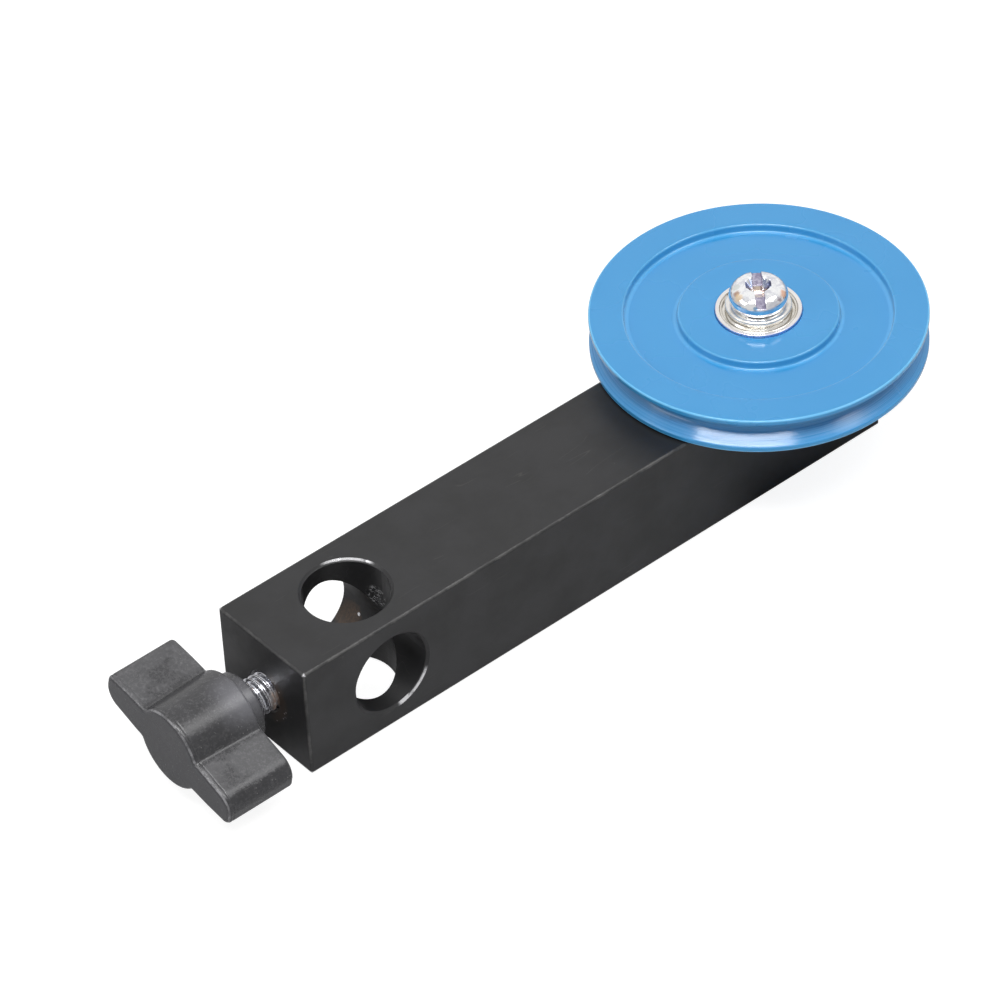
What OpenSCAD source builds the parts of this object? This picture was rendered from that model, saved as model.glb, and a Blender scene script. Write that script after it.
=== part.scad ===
// Rod-mounted pulley for a classroom retort stand.
// A square steel bar is cross-drilled at one end for the rod, which a wing screw clamps along the bar's axis.
// A grooved wheel turns on a shielded ball bearing that a pan-head screw holds to the other end.
// Frame: X along the bar towards the wheel, Z up; the origin is on the upright rod bore's axis, at the underside.

/* [Bar] */
// Side of the square bar
bar_w = 19.4; // [17:0.1:24]
// Distance from the rod bores' centre to the wheel's axle
reach = 80; // [55:1:160]
// Distance from each end face to the nearest bore or axle centre
end_margin = 15.7; // [14:0.1:20]
// Radius along the four long edges
edge_r = 0.5; // [0.3:0.1:1.5]
// Radius around the two end faces
end_r = 0.5; // [0.2:0.1:1]

/* [Rod bores] */
// Diameter of the two crossed bores for the stand's rod
rod_bore_d = 13; // [11:0.5:15]
// Chamfer at each mouth of the bores and of the clamp screw's hole
mouth_break = 0.4; // [0.1:0.05:0.6]

/* [Wheel] */
// Outside diameter of the grooved wheel
wheel_d = 50.8; // [44:0.2:70]
// Thickness across the two flanges
wheel_t = 6; // [5.5:0.1:9]
// Gap between the bar and the lower flange
wheel_gap = 0.3; // [0.3:0.1:2]
// Width of the flat edge on each flange
rim_land = 0.8; // [0.6:0.1:1.6]
// Depth of the cord groove below the flanges
groove_depth = 2.3; // [1.6:0.1:4]
// Radius at the root of the groove
groove_root_r = 0.9; // [0.5:0.1:1.1]
// Radial width of the raised rim on each face
rim_w = 5.3; // [4.8:0.1:7]
// Diameter of the raised boss round the bearing
boss_d = 24.3; // [20:0.1:27]
// Depth of the web below the rim and the boss
web_drop = 1.25; // [0.5:0.05:1.6]
// Radius on the wheel's raised edges and in their corners
wheel_edge_r = 0.25; // [0.1:0.05:0.4]

/* [Bearing] */
// Outside diameter of the ball bearing
bearing_d = 13; // [13:0.5:15]
// Width of the ball bearing
bearing_w = 4; // [3.9:0.1:4.8]
// Height of the bearing above the boss
bearing_proud = 0.4; // [0.2:0.1:1.2]
// Diameter of each ball
ball_d = 2; // [1.8:0.05:2.1]
// Number of balls
ball_count = 8; // [6:1:9]
// Depth of each raceway's groove in its ring
race_depth = 0.4; // [0.3:0.05:0.45]
// Chamfer on the rings' edges
ring_chamfer = 0.2; // [0.1:0.05:0.3]
// Width of the outer ring's lip round each shield
ring_lip = 0.65; // [0.5:0.05:0.8]
// Thickness of the wire ring that snaps in over each shield
snap_wire_d = 0.4; // [0.3:0.05:0.5]
// Width of the gap between a wire ring's two ends
snap_wire_gap = 1.6; // [0.8:0.1:3]
// Direction of that gap, counted from the bar's length
snap_wire_turn = 107; // [0:1:360]
// Sheet thickness of the shields and the cage
sheet_t = 0.15; // [0.1:0.05:0.2]

/* [Axle screw] */
// Thread diameter of the axle screw
axle_d = 5; // [4:0.5:5]
// Length of the screw under its head
axle_l = 20; // [16:1:22]
// Diameter of the pan head
head_d = 8.9; // [8.6:0.1:10]
// Height of the pan head
head_h = 3.7; // [3.4:0.1:4]
// Radius of the shoulder between the head's side and its crown
head_shoulder_r = 2.2; // [1.6:0.1:2.6]
// Radius of the head's crown
head_crown_r = 7; // [6.5:0.5:12]
// Width of the driver slot
slot_w = 1.4; // [0.9:0.1:1.5]
// Depth of the driver slot below the crown
slot_depth = 1.6; // [1:0.1:1.8]
// Depth of the cross recess below the crown
cross_depth = 2.5; // [2:0.1:2.8]
// Span of the cross recess at the crown
cross_span = 5.6; // [5:0.1:7]
// Width of the cross recess's arms
cross_w = 1.1; // [0.9:0.1:1.4]
// Turn of the slot from the bar's length, as the screw was left
slot_turn = 53; // [0:1:180]
// Diameter of the plain washer under the head
washer_d = 10; // [9:0.1:10.6]
// Thickness of the plain washer
washer_t = 1.1; // [0.6:0.1:1.5]
// Outside diameter of the spacer under the bearing
spacer_d = 7; // [6.6:0.1:7.2]

/* [Clamp screw] */
// Thread diameter of the clamp stud
stud_d = 6; // [5:0.5:8]
// Gap between the knob's collar and the bar's end face, as the screw was left
clamp_gap = 3.9; // [1:0.1:6]
// Distance from the stud's tip back to the bores' wall, as the screw was left
tip_setback = 0.1; // [0.1:0.1:2]
// Chamfer at the stud's tip
tip_chamfer = 0.8; // [0.5:0.1:1.5]
// Length of the stud that is held inside the knob
stud_grip = 10.5; // [8:0.5:11]
// Length of the knob's wings and main boss along the screw
knob_l = 11.7; // [10:0.1:16]
// Span across the two wing tips
knob_span = 28.2; // [22:0.1:36]
// Diameter of the knob's boss where it meets the collar
knob_boss_d = 13.7; // [11.5:0.1:15]
// Draft of the boss, as the difference between its two diameters
knob_draft = 0.8; // [0:0.1:1]
// Diameter of the collar behind the wings
collar_d = 10.6; // [9.6:0.1:12]
// Length of the collar behind the wings
collar_l = 2.1; // [1:0.1:4]
// Thickness of a wing at the boss
wing_root_t = 6.6; // [5:0.1:8]
// Thickness of a wing near its tip
wing_tip_t = 5.2; // [4.6:0.1:7]
// Radius on the upper corner of the left-hand wing's tip, and on its opposite
tip_small_r = 1.3; // [0.8:0.1:1.8]
// Radius on the lower corner of the left-hand wing's tip, and on its opposite
tip_large_r = 2.9; // [2:0.1:4]
// Radius on the knob's outer edges
knob_edge_r = 0.5; // [0.3:0.1:0.7]
// Angle of the wings above level, as the screw was left
wing_turn = 13.5; // [-90:0.5:90]

/* [Clearances] */
// Radial gap between pieces that are pressed or screwed together
fit_gap = 0.01; // [0.01:0.005:0.03]
// Radial gap between pieces that turn or slide on each other
run_gap = 0.04; // [0.02:0.01:0.08]
// Radial gap between a screw and the washer or spacer round it
loose_gap = 0.15; // [0.05:0.05:0.2]
// Gap between a bearing shield and the inner ring, and round the cage
shield_gap = 0.15; // [0.1:0.05:0.2]

/* [Hidden] */
$fn = 96;
cut = 1;                // overrun of a cutting solid past the face that it opens
touch = 0.001;          // overlap of two solids that join in one piece
hull_fn = 24;           // facets of the discs inside a hull
drill_point = 118;      // angle of a drill's point
drill_run_out = 2;      // depth of the axle hole past the screw's tip
axle_tip_chamfer = 0.6;
head_base_r = 0.4;      // radius under the pan head's rim

// Heights of the stack on the axle
wheel_z = bar_w + wheel_gap;
wheel_top_z = wheel_z + wheel_t;
bearing_top_z = wheel_top_z + bearing_proud;
bearing_z = bearing_top_z - bearing_w;
bearing_mid_z = bearing_top_z - bearing_w / 2;
head_z = bearing_top_z + washer_t;

// Section of the bearing
pitch_r = (axle_d + bearing_d) / 4;
race_r = ball_d / 2 + run_gap;
inner_land_r = pitch_r - race_r + race_depth;
outer_land_r = pitch_r + race_r - race_depth;
shield_seat_r = bearing_d / 2 - ring_lip;
shield_seat = snap_wire_d + sheet_t + run_gap;
shield_rise = 0.3;      // height of a shield's disc above its flange
shield_bore_r = inner_land_r + shield_gap;
seat_shelf_r = shield_seat_r - snap_wire_d;
cage_in_r = inner_land_r + shield_gap;
cage_out_r = outer_land_r - shield_gap;

// The clamp screw along X
end_x = -end_margin;
knob_front_x = end_x - clamp_gap - collar_l - knob_l;
stud_back_x = end_x - clamp_gap - stud_grip;
stud_tip_x = -rod_bore_d / 2 - tip_setback;
axis_z = bar_w / 2;

function arc(c, r, from, to, steps = 6) =
    [for (i = [0 : steps]) let (a = from + (to - from) * i / steps) c + r * [cos(a), sin(a)]];

module tube(d, bore, h) {
    difference() {
        cylinder(d = d, h = h);
        translate([0, 0, -cut]) cylinder(d = bore, h = h + 2 * cut);
    }
}

// ---- Bar ----

module rounded_rect(size, r) {
    translate([r, 0]) square([size.x - 2 * r, size.y]);
    translate([0, r]) square([size.x, size.y - 2 * r]);
    for (x = [r, size.x - r], y = [r, size.y - r])
        translate([x, y]) circle(r);
}

// Square stock: its section runs the whole length, and its side view and plan round the ends
module bar_stock() {
    l = reach + 2 * end_margin;
    intersection() {
        translate([end_x, -bar_w / 2, 0])
            rotate([90, 0, 90]) linear_extrude(l) rounded_rect([bar_w, bar_w], edge_r);
        translate([end_x, bar_w / 2, 0])
            rotate([90, 0, 0]) linear_extrude(bar_w) rounded_rect([l, bar_w], end_r);
        translate([end_x, -bar_w / 2, 0])
            linear_extrude(bar_w) rounded_rect([l, bar_w], end_r);
    }
}

// Chamfer for the mouth of a hole of diameter d whose axis is Z and whose mouth is at z = 0, facing down
module mouth_chamfer(d, size) {
    translate([0, 0, -cut])
        cylinder(r1 = d / 2 + size + cut, r2 = d / 2, h = size + cut);
}

// Hole right through, from z = 0 to l, with a chamfer at each mouth
module through_hole(d, l) {
    translate([0, 0, -cut]) cylinder(d = d, h = l + 2 * cut);
    mouth_chamfer(d, mouth_break);
    translate([0, 0, l]) mirror([0, 0, 1]) mouth_chamfer(d, mouth_break);
}

// Blind hole with a drill's point, from z = 0 up
module blind_hole(d, depth) {
    cylinder(d = d, h = depth);
    translate([0, 0, depth - touch]) cylinder(d1 = d, d2 = 0, h = d / 2 / tan(drill_point / 2));
}

module clamp_bar() {
    stud_hole_d = stud_d + 2 * run_gap;
    axle_hole_depth = axle_l - (head_z - bar_w) + drill_run_out;
    color("#2b2b2d") difference() {
        bar_stock();
        // upright and level bores for the rod
        through_hole(rod_bore_d, bar_w);
        translate([0, bar_w / 2, axis_z]) rotate([90, 0, 0]) through_hole(rod_bore_d, bar_w);
        // clamp stud's hole, from the end face into the bores
        translate([end_x, 0, axis_z]) rotate([0, 90, 0]) {
            translate([0, 0, -cut]) cylinder(d = stud_hole_d, h = end_margin + cut);
            mouth_chamfer(stud_hole_d, mouth_break);
        }
        // axle screw's hole, blind from the top face
        translate([reach, 0, bar_w + touch]) mirror([0, 0, 1])
            blind_hole(axle_d + 2 * fit_gap, axle_hole_depth);
    }
}

// ---- Wheel, about its own middle ----

module at_axle(z = 0) {
    translate([reach, 0, z]) children();
}

// Upper face of the wheel, from the edge of its bore out to the flange
function wheel_face(bore_r) =
    let (
        h = wheel_t / 2,
        web = h - web_drop,
        boss_r = boss_d / 2,
        outer_r = wheel_d / 2,
        rim_r = outer_r - rim_w,
        e = wheel_edge_r
    )
    concat(
        arc([bore_r + e, h - e], e, 180, 90),
        arc([boss_r - e, h - e], e, 90, 0),
        arc([boss_r + e, web + e], e, 180, 270),
        arc([rim_r - e, web + e], e, 270, 360),
        arc([rim_r + e, h - e], e, 180, 90),
        arc([outer_r - e, h - e], e, 90, 0)
    );

// Cord groove, from the upper flange's edge round the root to the lower flange's edge
function groove() =
    let (
        outer_r = wheel_d / 2,
        mouth = wheel_t / 2 - rim_land,
        root_x = outer_r - groove_depth + groove_root_r,
        run = outer_r - root_x,
        // direction from the root's centre to where the straight flank touches it
        touch_a = atan2(mouth, run) + acos(groove_root_r / norm([run, mouth]))
    )
    concat(
        [[outer_r, mouth]],
        arc([root_x, 0], groove_root_r, touch_a, 360 - touch_a, 12),
        [[outer_r, -mouth]]
    );

module pulley_wheel() {
    seat_r = bearing_d / 2 + fit_gap;
    seat_z = bearing_z - wheel_z - wheel_t / 2;
    lower = [for (p = wheel_face(seat_shelf_r)) [p.x, -p.y]];
    lower_inwards = [for (i = [len(lower) - 1 : -1 : 0]) lower[i]];
    color("#3f8fd2") at_axle(wheel_z + wheel_t / 2)
        rotate_extrude()
            polygon(concat(
                [[seat_shelf_r, seat_z], [seat_r, seat_z]],
                wheel_face(seat_r),
                groove(),
                lower_inwards
            ));
}

// ---- Ball bearing, about its own middle ----

// Section of a ring between two radii, with a raceway for the balls
module ring_section(r_in, r_out) {
    c = ring_chamfer;
    h = bearing_w / 2;
    difference() {
        polygon([
            [r_in + c, -h], [r_out - c, -h], [r_out, c - h], [r_out, h - c],
            [r_out - c, h], [r_in + c, h], [r_in, h - c], [r_in, c - h]
        ]);
        translate([pitch_r, 0]) circle(race_r);
    }
}

module bearing_outer_ring() {
    h = bearing_w / 2;
    color("#c9cbce") at_axle(bearing_mid_z)
        rotate_extrude() difference() {
            ring_section(outer_land_r, bearing_d / 2);
            translate([0, h - shield_seat]) square([shield_seat_r, shield_seat + cut]);
            translate([0, -h - cut]) square([shield_seat_r, shield_seat + cut]);
        }
}

module bearing_inner_ring() {
    color("#c9cbce") at_axle(bearing_mid_z)
        rotate_extrude() ring_section(axle_d / 2 + fit_gap, inner_land_r);
}

module round_pitch(i) {
    rotate(360 * (i - 1) / ball_count) translate([pitch_r, 0, 0]) children();
}

module bearing_ball(i) {
    color("#d8dadd") at_axle(bearing_mid_z) round_pitch(i) sphere(d = ball_d);
}

// Half of the pressed cage: a flat ring that bulges over each ball
module cage_half() {
    pocket_r = ball_d / 2 + run_gap;
    difference() {
        intersection() {
            union() {
                cylinder(r = cage_out_r, h = sheet_t);
                for (i = [1 : ball_count]) round_pitch(i) sphere(r = pocket_r + sheet_t);
            }
            tube(2 * cage_out_r, 2 * cage_in_r, ball_d);
        }
        for (i = [1 : ball_count]) round_pitch(i) sphere(r = pocket_r);
    }
}

module cage_upper_half() {
    color("#a9a38f") at_axle(bearing_mid_z) cage_half();
}

module cage_lower_half() {
    color("#a9a38f") at_axle(bearing_mid_z) mirror([0, 0, 1]) cage_half();
}

// Shield: a flat flange on the outer ring's step, and a raised disc that reaches to the inner ring
module shield() {
    flange_z = bearing_w / 2 - shield_seat;
    disc_z = flange_z + shield_rise;
    flange_r = seat_shelf_r - snap_wire_d;
    slope_r = flange_r - shield_rise;
    rotate_extrude()
        polygon([
            [shield_bore_r, disc_z], [slope_r, disc_z], [flange_r, flange_z],
            [shield_seat_r - fit_gap, flange_z], [shield_seat_r - fit_gap, flange_z + sheet_t],
            [flange_r, flange_z + sheet_t], [slope_r, disc_z + sheet_t], [shield_bore_r, disc_z + sheet_t]
        ]);
}

module upper_shield() {
    color("#bfc1c4") at_axle(bearing_mid_z) shield();
}

module lower_shield() {
    color("#bfc1c4") at_axle(bearing_mid_z) mirror([0, 0, 1]) shield();
}

// Open ring of round wire that holds a shield down
module snap_ring() {
    wire_r = snap_wire_d / 2;
    ring_r = shield_seat_r - fit_gap - wire_r;
    gap_a = snap_wire_gap / ring_r * 180 / PI;
    translate([0, 0, bearing_w / 2 - shield_seat + sheet_t + wire_r])
        rotate(snap_wire_turn + gap_a / 2)
            rotate_extrude(angle = 360 - gap_a) translate([ring_r, 0]) circle(wire_r, $fn = 24);
}

module upper_snap_ring() {
    color("#a7aaae") at_axle(bearing_mid_z) snap_ring();
}

module lower_snap_ring() {
    color("#a7aaae") at_axle(bearing_mid_z) mirror([0, 0, 1]) snap_ring();
}

// ---- Axle screw, washer and spacer ----

// Outline of the pan head: steep side, round shoulder and low crown
function pan_head() =
    let (
        shoulder_x = head_d / 2 - head_shoulder_r,
        crown_z = head_h - head_crown_r,
        rise = sqrt(pow(head_crown_r - head_shoulder_r, 2) - pow(shoulder_x, 2)),
        meet = atan2(rise, shoulder_x)
    )
    concat(
        [[0, 0]],
        arc([head_d / 2 - head_base_r, head_base_r], head_base_r, 270, 360, 3),
        arc([shoulder_x, crown_z + rise], head_shoulder_r, 0, meet, 8),
        arc([0, crown_z], head_crown_r, meet + (90 - meet) / 6, 90, 5)
    );

// Straight slot right across, and a deeper cross recess that narrows to its floor
module drive_recess() {
    translate([-head_d, -slot_w / 2, head_h - slot_depth]) cube([2 * head_d, slot_w, head_h]);
    intersection() {
        translate([0, 0, head_h - cross_depth])
            cylinder(d1 = 2 * cross_w, d2 = cross_span, h = cross_depth + touch);
        for (turn = [0, 90])
            rotate(turn)
                translate([-head_d, -cross_w / 2, head_h - cross_depth]) cube([2 * head_d, cross_w, head_h]);
    }
}

module axle_screw() {
    r = axle_d / 2;
    color("#c4c7cb") at_axle(head_z) {
        difference() {
            rotate_extrude() polygon(pan_head());
            rotate(slot_turn) drive_recess();
        }
        rotate_extrude()
            polygon([
                [0, touch], [r, touch], [r, axle_tip_chamfer - axle_l],
                [r - axle_tip_chamfer, -axle_l], [0, -axle_l]
            ]);
    }
}

module screw_washer() {
    color("#c9c6bf") at_axle(bearing_top_z) tube(washer_d, axle_d + 2 * loose_gap, washer_t);
}

module spacer_sleeve() {
    color("#b9bcc0") at_axle(bar_w) tube(spacer_d, axle_d + 2 * loose_gap, bearing_z - bar_w);
}

// ---- Clamp screw, along its own axis from the knob's front face ----

// Disc as long as the knob, with both rims rounded
module soft_disc() {
    r = tip_small_r;
    e = knob_edge_r;
    rotate_extrude($fn = hull_fn)
        polygon(concat(
            [[0, 0]],
            arc([r - e, e], e, 270, 360, 3),
            arc([r - e, knob_l - e], e, 0, 90, 3),
            [[0, knob_l]]
        ));
}

// Wing along +X, with one tight corner and one full corner at its tip
module wing() {
    r = tip_small_r;
    full_c = [knob_span / 2 - tip_large_r, tip_large_r - wing_tip_t / 2];
    hull() {
        translate([knob_span / 2 - r, wing_tip_t / 2 - r, 0]) soft_disc();
        for (p = arc(full_c, tip_large_r - r, 270, 360, 5))
            translate(p) soft_disc();
        for (side = [-1, 1])
            translate([0, side * (wing_root_t / 2 - r), 0]) soft_disc();
    }
}

// Boss and collar in one turned profile, from the front face to the collar's end
module knob_boss() {
    back_r = knob_boss_d / 2;
    front_r = back_r - knob_draft / 2;
    e = knob_edge_r;
    end = knob_l + collar_l;
    rotate_extrude()
        polygon(concat(
            [[0, 0]],
            arc([front_r - e, e], e, 270, 360),
            arc([back_r - e, knob_l - e], e, 0, 90),
            [[collar_d / 2, knob_l], [collar_d / 2, end], [0, end]]
        ));
}

module clamp_knob() {
    socket_z = stud_back_x - knob_front_x - run_gap;
    color("#3a3a3d")
        translate([knob_front_x, 0, axis_z]) rotate([0, 90, 0]) rotate(90 + wing_turn)
            difference() {
                union() {
                    knob_boss();
                    wing();
                    rotate(180) wing();
                }
                translate([0, 0, socket_z]) cylinder(d = stud_d + 2 * run_gap, h = knob_l + collar_l);
            }
}

module clamp_stud() {
    l = stud_tip_x - stud_back_x;
    r = stud_d / 2;
    color("#b8b3aa")
        translate([stud_back_x, 0, axis_z]) rotate([0, 90, 0])
            rotate_extrude()
                polygon([[0, 0], [r, 0], [r, l - tip_chamfer], [r - tip_chamfer, l], [0, l]]);
}

clamp_bar();
pulley_wheel();
bearing_outer_ring();
bearing_inner_ring();
for (i = [1 : ball_count])
    bearing_ball(i);
cage_upper_half();
cage_lower_half();
upper_shield();
lower_shield();
upper_snap_ring();
lower_snap_ring();
axle_screw();
screw_washer();
spacer_sleeve();
clamp_knob();
clamp_stud();
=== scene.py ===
import math

import bmesh
import bpy
import numpy as np
from mathutils import Matrix, Vector


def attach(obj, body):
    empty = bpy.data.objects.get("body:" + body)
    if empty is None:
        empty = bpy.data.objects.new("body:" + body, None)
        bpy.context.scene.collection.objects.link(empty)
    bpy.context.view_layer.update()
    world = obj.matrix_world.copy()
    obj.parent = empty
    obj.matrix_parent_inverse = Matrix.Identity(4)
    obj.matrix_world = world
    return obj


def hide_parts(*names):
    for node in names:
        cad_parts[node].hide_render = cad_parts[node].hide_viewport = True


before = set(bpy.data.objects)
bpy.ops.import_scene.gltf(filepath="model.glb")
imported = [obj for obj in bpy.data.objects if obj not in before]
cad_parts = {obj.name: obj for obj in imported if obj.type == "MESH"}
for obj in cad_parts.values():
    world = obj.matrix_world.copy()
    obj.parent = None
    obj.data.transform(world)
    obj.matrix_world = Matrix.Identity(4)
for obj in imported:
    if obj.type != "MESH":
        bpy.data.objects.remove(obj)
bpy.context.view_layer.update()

MM = 0.001

# Sizes in millimetres, as in the frame
BAR_W = 19.4
AXIS_Z = BAR_W / 2
END_X = -15.7
REACH = 80.0
BAR_HALF_L = (REACH - 2 * END_X) / 2
BAR_MID_X = END_X + BAR_HALF_L
WHEEL_Z0, WHEEL_Z1 = 19.7, 25.7
WHEEL_MID_Z = (WHEEL_Z0 + WHEEL_Z1) / 2
WHEEL_R = 25.4
RIM_R = 20.1
BOSS_R = 12.15
WEB_DROP = 1.25
GROOVE_ROOT_R, GROOVE_HALF = 22.52, 2.2
BEARING_Z0, BEARING_Z1 = 22.1, 26.1
BEARING_R = 6.5
AXLE_R, AXLE_L = 2.5, 20.0
WASHER_R = 5.0
SPACER_R = 3.5
SLEEVE_BORE_R = 2.65
HEAD_Z = 27.2
HEAD_R, HEAD_H = 4.45, 3.7
SLOT_W, SLOT_DEPTH, CROSS_DEPTH = 1.4, 1.6, 2.5
SLOT_TURN = math.radians(53)
ROD_BORE_R = 6.5
STUD_R = 3.0
STUD_BACK_X, STUD_TIP_X = -30.1, -6.6
KNOB_FRONT_X = -33.4
KNOB_L = 11.7
COLLAR_L, COLLAR_R = 2.1, 5.3
WING_TURN = math.radians(13.5)


# ---------------------------------------------------------------- mesh helpers

def piece(name, verts, faces, body, material, replaced=(), normals=None, face_in=True):
    """A mesh object from points in millimetres, that rides on a body."""
    mesh = bpy.data.meshes.new(name)
    mesh.from_pydata((np.asarray(verts, float) * MM).tolist(), [], [list(map(int, f)) for f in faces])
    if face_in:
        bm = bmesh.new()
        bm.from_mesh(mesh)
        bmesh.ops.recalc_face_normals(bm, faces=bm.faces)
        bm.to_mesh(mesh)
        bm.free()
    mesh.update()
    mesh.shade_smooth()
    if normals is not None:
        mesh.normals_split_custom_set_from_vertices(np.asarray(normals, float).tolist())
    mesh.materials.append(material)
    obj = bpy.data.objects.new(name, mesh)
    bpy.context.scene.collection.objects.link(obj)
    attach(obj, body)
    if replaced:
        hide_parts(*replaced)
    return obj


def weighted(obj):
    """Normals that keep the flats flat beside their rounded edges."""
    m = obj.modifiers.new("normals", "WEIGHTED_NORMAL")
    m.weight = 80
    m.keep_sharp = True
    return obj


def arc(centre_x, centre_y, r, start, end, count):
    """Points of an arc, from the start angle to the end angle."""
    return [(centre_x + r * math.cos(a), centre_y + r * math.sin(a)) for a in np.linspace(start, end, count)]


def rounded(corners, steps=6):
    """Closed outline through (x, y, radius) corners, with each corner turned into an arc."""
    out = []
    count = len(corners)
    for i, (x, y, r) in enumerate(corners):
        p = np.array((x, y), float)
        if r <= 0:
            out.append(p)
            continue
        a = np.array(corners[i - 1][:2], float) - p
        b = np.array(corners[(i + 1) % count][:2], float) - p
        a, b = a / np.linalg.norm(a), b / np.linalg.norm(b)
        half = math.acos(max(-1, min(1, float(a @ b)))) / 2
        bisector = (a + b) / np.linalg.norm(a + b)
        centre = p + bisector * r / math.sin(half)
        start, end = p + a * r / math.tan(half) - centre, p + b * r / math.tan(half) - centre
        a0, a1 = math.atan2(start[1], start[0]), math.atan2(end[1], end[0])
        sweep = (a1 - a0 + math.pi) % (2 * math.pi) - math.pi
        n = max(2, math.ceil(abs(sweep) / (math.pi / 2) * steps))
        for j in range(n + 1):
            t = a0 + sweep * j / n
            out.append(centre + r * np.array((math.cos(t), math.sin(t))))
    return np.array(out)


def subdivided(outline, longest):
    """The same closed outline with no edge longer than the given length."""
    out = []
    for i in range(len(outline)):
        a, b = outline[i], outline[(i + 1) % len(outline)]
        n = max(1, math.ceil(np.linalg.norm(b - a) / longest))
        out += [a + (b - a) * k / n for k in range(n)]
    return np.array(out)


def revolve(outline, angles, shape=None):
    """Verts and quads of a closed (r, z) outline turned about the axle. shape(r, z, angle) moves points."""
    r, z = outline[:, 0][:, None], outline[:, 1][:, None]
    t = np.asarray(angles)[None, :]
    r, z, t = r + 0 * t, z + 0 * t, t + 0 * r
    if shape:
        r, z = shape(r, z, t)
    verts = np.stack([REACH + r * np.cos(t), r * np.sin(t), z], -1).reshape(-1, 3)
    m, n = len(outline), len(angles)
    i, j = np.meshgrid(np.arange(m), np.arange(n), indexing="ij")
    i2, j2 = (i + 1) % m, (j + 1) % n
    faces = np.stack([i * n + j, i * n + j2, i2 * n + j2, i2 * n + j], -1).reshape(-1, 4)
    return verts, faces


def even_angles(count):
    return np.arange(count) * 2 * math.pi / count


def threaded(r, pitch, depth, start, end, chamfer, turn_points, around):
    """Verts and faces of a right-handed threaded rod along +X, from start to end."""
    crest, root = 0.16, 0.12  # flat shares of the half pitch
    n = math.ceil((end - start) / pitch * turn_points)
    x = np.linspace(start, end, n + 1)[:, None]
    t = even_angles(around)[None, :]
    phase = ((x - start) / pitch - t / (2 * math.pi)) % 1
    flank = np.clip((np.abs(2 * phase - 1) - crest) / (1 - crest - root), 0, 1)
    softened = flank * flank * (3 - 2 * flank)
    radius = r - depth * (softened * 0.35 + flank * 0.65)
    near_end = np.minimum(x - start, end - x)
    radius = np.minimum(radius, r - chamfer + near_end)
    verts = np.stack([x + 0 * t, radius * np.cos(t), radius * np.sin(t)], -1).reshape(-1, 3)
    i, j = np.meshgrid(np.arange(n), np.arange(around), indexing="ij")
    j2 = (j + 1) % around
    faces = np.stack([i * around + j, i * around + j2, (i + 1) * around + j2, (i + 1) * around + j], -1)
    faces = faces.reshape(-1, 4).tolist()
    verts = np.vstack([verts, [[start, 0, 0], [end, 0, 0]]])
    first, last = len(verts) - 2, len(verts) - 1
    for k in range(around):
        faces.append([first, (k + 1) % around, k])
        faces.append([last, n * around + k, n * around + (k + 1) % around])
    return verts, faces


def surface_net(field, origin, step):
    """Verts and quads of the zero level of a distance field on a grid."""
    inside = field < 0
    cell = tuple(s - 1 for s in field.shape)
    corners = [(a, b, c) for a in (0, 1) for b in (0, 1) for c in (0, 1)]

    def shifted(o):
        return inside[o[0]:o[0] + cell[0], o[1]:o[1] + cell[1], o[2]:o[2] + cell[2]]

    total = sum(shifted(o).astype(np.int8) for o in corners)
    where = np.argwhere((total > 0) & (total < len(corners)))
    index = -np.ones(cell, np.int64)
    index[tuple(where.T)] = np.arange(len(where))
    place, hits = np.zeros((len(where), 3)), np.zeros(len(where))
    for axis in range(3):
        unit = np.eye(3, dtype=int)[axis]
        for o in corners:
            if o[axis]:
                continue
            fa = field[tuple((where + o).T)]
            fb = field[tuple((where + o + unit).T)]
            crossed = (fa < 0) != (fb < 0)
            t = fa[crossed] / (fa[crossed] - fb[crossed])
            place[crossed] += np.array(o) + t[:, None] * unit
            hits[crossed] += 1
    verts = np.array(origin) + step * (where + place / hits[:, None])
    faces = []
    for axis in range(3):
        b, c = [k for k in range(3) if k != axis]
        lo, hi = [slice(None)] * 3, [slice(None)] * 3
        lo[axis], hi[axis] = slice(0, -1), slice(1, None)
        change = inside[tuple(lo)] != inside[tuple(hi)]
        at = np.argwhere(change)
        at = at[(at[:, b] > 0) & (at[:, c] > 0) & (at[:, b] < cell[b]) & (at[:, c] < cell[c])]
        ub, uc = np.eye(3, dtype=int)[b], np.eye(3, dtype=int)[c]
        quad = np.stack([index[tuple((at - d).T)] for d in (0 * ub, ub, ub + uc, uc)], -1)
        flip = inside[tuple(at.T)] ^ (axis != 1)
        quad[flip] = quad[flip][:, ::-1]
        faces.append(quad)
    return verts, np.vstack(faces)


def solid_from(distance, low, high, step):
    """Mesh of the zero level of distance(points), with its points put exactly on it, and its normals."""
    low = np.array(low, float)
    size = np.ceil((np.array(high) - low) / step).astype(int) + 1
    axes = [low[k] + step * np.arange(size[k]) for k in range(3)]
    grid = np.stack(np.meshgrid(*axes, indexing="ij"), -1)
    field = distance(grid.reshape(-1, 3)).reshape(size)
    verts, faces = surface_net(field, low, step)
    e = step * 0.25

    def slope_at(points):
        return np.stack([distance(points + e * u) - distance(points - e * u) for u in np.eye(3)], -1)

    for _ in range(3):
        slope = slope_at(verts) / (2 * e)
        square = np.maximum((slope ** 2).sum(-1, keepdims=True), 0.1)
        verts = verts - np.clip(distance(verts)[:, None] / square, -step, step) * slope
    slope = slope_at(verts)
    return verts, faces, slope / np.maximum(np.linalg.norm(slope, axis=-1, keepdims=True), 1e-9)


def smooth_min(a, b, k):
    h = np.clip(0.5 + 0.5 * (b - a) / k, 0, 1)
    return b + (a - b) * h - k * h * (1 - h)


def smooth_max(a, b, k):
    return -smooth_min(-a, -b, k)


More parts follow.
